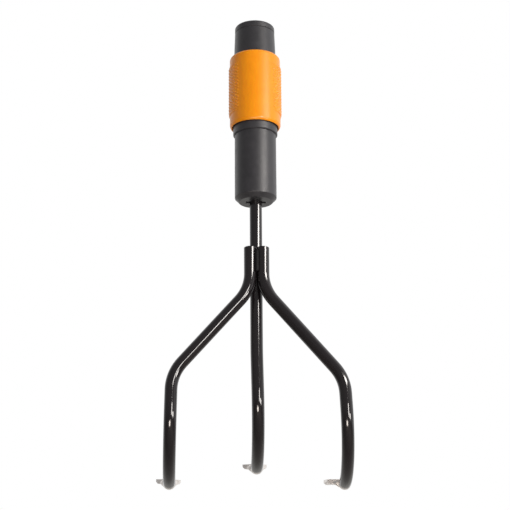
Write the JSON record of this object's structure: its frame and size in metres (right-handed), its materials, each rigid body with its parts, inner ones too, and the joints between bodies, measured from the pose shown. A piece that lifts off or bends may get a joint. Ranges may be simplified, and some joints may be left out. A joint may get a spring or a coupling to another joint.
{
  "type": "three-tine cultivator",
  "caption": "Hand cultivator head: hooked round tines with forged leaf-shaped tips, welded to a shank in a moulded socket with a sliding lock sleeve for a handle.",
  "frame": {"origin": "centre of the socket's mouth, in the plane of its rim", "axes": "+Z along the socket's axis out of its mouth, towards the handle; +X to the right tine; +Y to the back, the way the tines hook"},
  "size_m": [0.1243, 0.0805, 0.3075],
  "materials": {
    "black_plastic": "satin moulded glass-filled nylon",
    "orange_plastic": "satin moulded plastic",
    "zinc_steel": "zinc plated",
    "rubber": "smooth",
    "black_paint": "gloss black paint on steel rod, bare forged steel at the tips",
    "weld_paint": "gloss black paint over the bead"
  },
  "bodies": {
    "head": {"rim_ring": "black_plastic", "mouth_collar": "black_plastic", "socket_body": "black_plastic", "upper_rubber_ring": "rubber", "lower_rubber_ring": "rubber", "depth_disc": "black_plastic", "shank_washer": "zinc_steel", "shank_nut": "zinc_steel", "centre_tine": "black_paint", "right_tine": "black_paint", "left_tine": "black_paint", "front_weld": "weld_paint", "right_weld": "weld_paint", "left_weld": "weld_paint"},
    "sleeve": {"lock_sleeve": "orange_plastic"},
    "right_key": {"locking_key_right": "zinc_steel"},
    "left_key": {"locking_key_left": "zinc_steel"}
  },
  "joints": [
    {"name": "sleeve_slide", "type": "slide", "parent": "head", "child": "sleeve", "axis": [0, 0, -1], "range_m": [0, 0.005]},
    {"name": "right_key_slide", "type": "slide", "parent": "head", "child": "right_key", "axis": [-1, 0, 0], "range_m": [0, 0.00121]},
    {"name": "left_key_slide", "type": "slide", "parent": "head", "child": "left_key", "axis": [1, 0, 0], "range_m": [0, 0.00121]}
  ],
  "couplings": [
    {"joint": "right_key_slide", "follows": "sleeve_slide", "ratio": 0.24},
    {"joint": "left_key_slide", "follows": "sleeve_slide", "ratio": 0.24}
  ]
}
